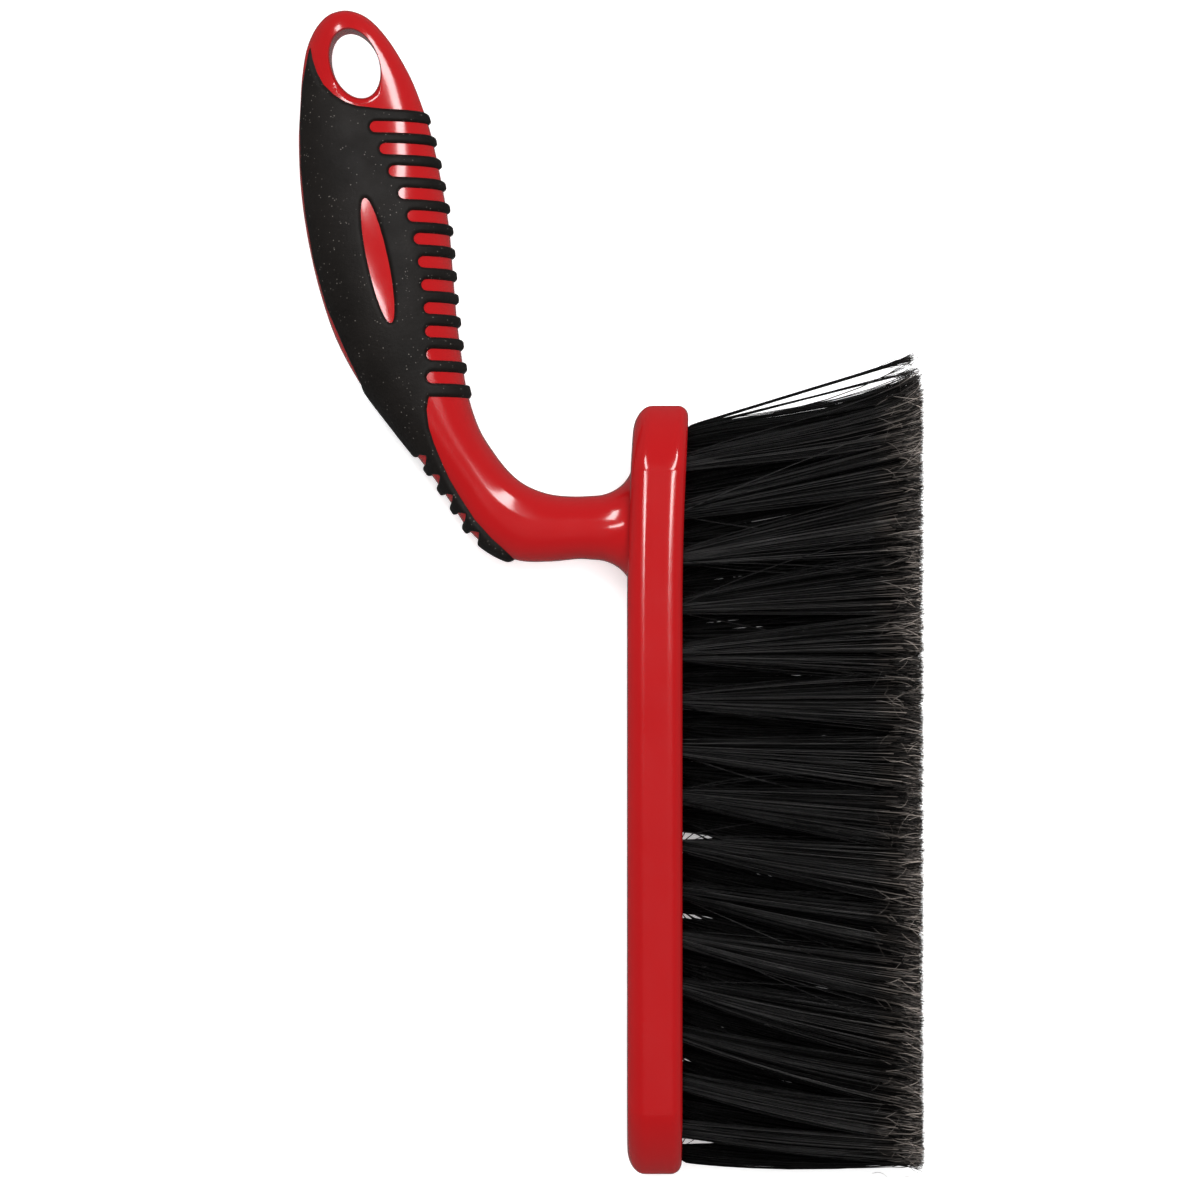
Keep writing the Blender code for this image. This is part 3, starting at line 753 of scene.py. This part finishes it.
def red_plastic():
    """Glossy moulded plastic, hardly uneven in colour, gloss and surface."""
    m = Nodes("red_gloss_plastic")
    m.set(Specular_IOR_Level=0.5, Coat_Weight=0.3, Coat_Roughness=0.06)
    colour = m.ramp(m.noise(18, 3), (0.3, (0.335, 0.0056, 0.0070)), (0.7, (0.36, 0.0066, 0.0080)))
    m.join(colour, m.shader.inputs["Base Color"])
    m.join(m.ramp(m.noise(120, 4), (0.3, 0.12), (0.75, 0.17)), m.shader.inputs["Roughness"])
    m.bump(m.noise(60, 2), 0.10, 0.0004)
    return m.material


def rubber():
    """Matt rubber, a little cloudy, finely pebbled, with patches of tiny specks of dust."""
    m = Nodes("black_soft_rubber")
    m.set(Specular_IOR_Level=0.14)
    cloudy = m.ramp(m.noise(70, 5, 0.6), (0.3, (0.0058, 0.0050, 0.0045)), (0.72, (0.0105, 0.0090, 0.0082)))
    specks = m.add("ShaderNodeTexVoronoi", feature="F1", Scale=850.0, Randomness=1.0)
    m.join(m.place, specks.inputs["Vector"])
    dust = m.ramp(specks.outputs["Distance"], (0.08, 1.0), (0.18, 0.0))
    thin = m.ramp(m.noise(260, 1), (0.47, 0.0), (0.6, 0.8))
    mask = m.mix("MULTIPLY", 1.0, dust, thin)
    m.join(m.mix("MIX", mask, cloudy, (0.17, 0.155, 0.14)), m.shader.inputs["Base Color"])
    m.join(m.ramp(m.noise(200, 3), (0.3, 0.46), (0.75, 0.6)), m.shader.inputs["Roughness"])
    m.bump(m.noise(1100, 3, 0.65), 0.5, 0.00025)
    return m.material


def bristle():
    """Black filament: greyer towards the split tips, and each as light and glossy as its own point value
    says, which is random and also holds painted shade: filaments deep in the brush are darker, rougher and
    less glossy.
    """
    m = Nodes("black_filament")
    split = m.add("ShaderNodeSeparateXYZ")
    m.join(m.place, split.inputs["Vector"])
    along = m.add("ShaderNodeMapRange")
    for key, value in (("From Min", BLOCK_FACE_X * MM), ("From Max", TIP_X * MM)):
        along.inputs[key].default_value = value
    m.join(split.outputs["X"], along.inputs["Value"])
    base = m.ramp(
        along.outputs["Result"], (0.0, (0.0050, 0.0050, 0.0052)), (0.6, (0.0062, 0.0061, 0.0062)),
        (0.79, (0.0080, 0.0077, 0.0075)), (0.91, (0.052, 0.047, 0.043)), (1.0, (0.150, 0.134, 0.122)),
    )  # fmt: skip
    # Painted shade: the point value is lower for filaments rooted deep in the brush, which makes them
    # darker and duller.
    own = m.add("ShaderNodeAttribute", attribute_name="tone_and_painted_shade").outputs["Fac"]
    tone_and_painted_shade = m.ramp(own, (0.0, (0.08, 0.085, 0.09)), (0.4, (0.7, 0.69, 0.69)), (1.0, (5.5, 5.3, 5.15)))
    worn = m.ramp(m.noise(1.0, 1, stretch=(60, 500, 500)), (0.35, 0.75), (0.7, 1.25))
    m.join(m.mix("MULTIPLY", 1.0, m.mix("MULTIPLY", 1.0, base, tone_and_painted_shade), worn), m.shader.inputs["Base Color"])
    m.join(m.ramp(own, (0.0, 0.5), (0.6, 0.3)), m.shader.inputs["Roughness"])
    m.join(m.ramp(own, (0.0, 0.10), (0.25, 0.35), (0.8, 0.55)), m.shader.inputs["Specular IOR Level"])
    return m.material


def floor_material():
    """A floor that is bright enough to look white right up to the object."""
    m = Nodes("pale_floor")
    m.set(Roughness=0.9, Specular_IOR_Level=0.1, Emission_Strength=0.4)
    m.shader.inputs["Emission Color"].default_value = (1.0, 1.0, 1.0, 1.0)
    m.join(m.ramp(m.noise(6, 2), (0.0, 0.92), (1.0, 0.94)), m.shader.inputs["Base Color"])
    return m.material


# ---------------------------------------------------------------- stage


def area_light(name, place, size, power, diffuse, glossy):
    """A rectangular light that faces AIM. Seen from above, its size is across and along the line to AIM."""
    data = bpy.data.lights.new(name, "AREA")
    data.shape, data.size, data.size_y = "RECTANGLE", size[0], size[1]
    data.energy = power
    obj = bpy.data.objects.new(name, data)
    bpy.context.scene.collection.objects.link(obj)
    obj.location = place
    obj.rotation_euler = (Vector(AIM) - Vector(place)).to_track_quat("-Z", "Y").to_euler()
    obj.visible_diffuse, obj.visible_glossy = diffuse, glossy


def studio_world():
    """A dim surround: dark overhead and brighter towards the horizon, so that only edges pick it up."""
    world = bpy.data.worlds.new("studio")
    world.use_nodes = True
    nodes, links = world.node_tree.nodes, world.node_tree.links
    split = nodes.new("ShaderNodeSeparateXYZ")
    links.new(nodes.new("ShaderNodeTexCoord").outputs["Generated"], split.inputs["Vector"])
    ramp = nodes.new("ShaderNodeValToRGB")
    stops = ((0.0, 0.22), (0.35, 0.20), (0.8, 0.10), (1.0, 0.05))
    while len(ramp.color_ramp.elements) < len(stops):
        ramp.color_ramp.elements.new(0.5)
    for element, (height, grey) in zip(ramp.color_ramp.elements, stops, strict=True):
        element.position, element.color = height, (grey, grey, grey, 1.0)
    links.new(split.outputs["Z"], ramp.inputs["Fac"])
    links.new(ramp.outputs["Color"], nodes["Background"].inputs["Color"])
    nodes["Background"].inputs["Strength"].default_value = 0.7
    bpy.context.scene.world = world


def make_stage():
    """Floor, lights, surround and camera."""
    far, floor_z = 4000, -0.1
    corners = [(-far, -far, floor_z), (far, -far, floor_z), (far, far, floor_z), (-far, far, floor_z)]
    floor = mesh_piece("floor", corners, [[0, 1, 2, 3]], False)
    floor.data.materials.append(floor_material())
    floor.visible_glossy = False
    for light in LIGHTS:
        area_light(*light)
    studio_world()
    camera = bpy.data.objects.new("camera", bpy.data.cameras.new("camera"))
    bpy.context.scene.collection.objects.link(camera)
    camera.location = CAMERA_PLACE
    camera.data.lens = SENSOR_WIDTH / VIEW_WIDTH * VIEW_DISTANCE
    camera.data.clip_start, camera.data.clip_end = 0.05, 20
    bpy.context.scene.camera = camera
    bpy.context.scene.view_settings.view_transform = "Standard"


# ---------------------------------------------------------------- assembly


def place_piece(piece, material, slot, *nodes):
    """Gives the piece its material, and lets it stand for the CAD nodes on the root body. Its slot is not
    used.
    """
    piece.data.materials.clear()
    piece.data.materials.append(material)
    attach(piece, "root")
    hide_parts(*nodes)


rng = np.random.default_rng(20)
place_piece(make_body(), red_plastic(), "red_plastic", "body")
place_piece(make_grip(), rubber(), "black_rubber", "grip")
filament = bristle()
for tuft_name, tuft_y, tuft_z in tuft_centres():
    place_piece(make_tuft(tuft_name, tuft_y, tuft_z, rng), filament, "black_bristle", "tuft_" + tuft_name)
make_stage()
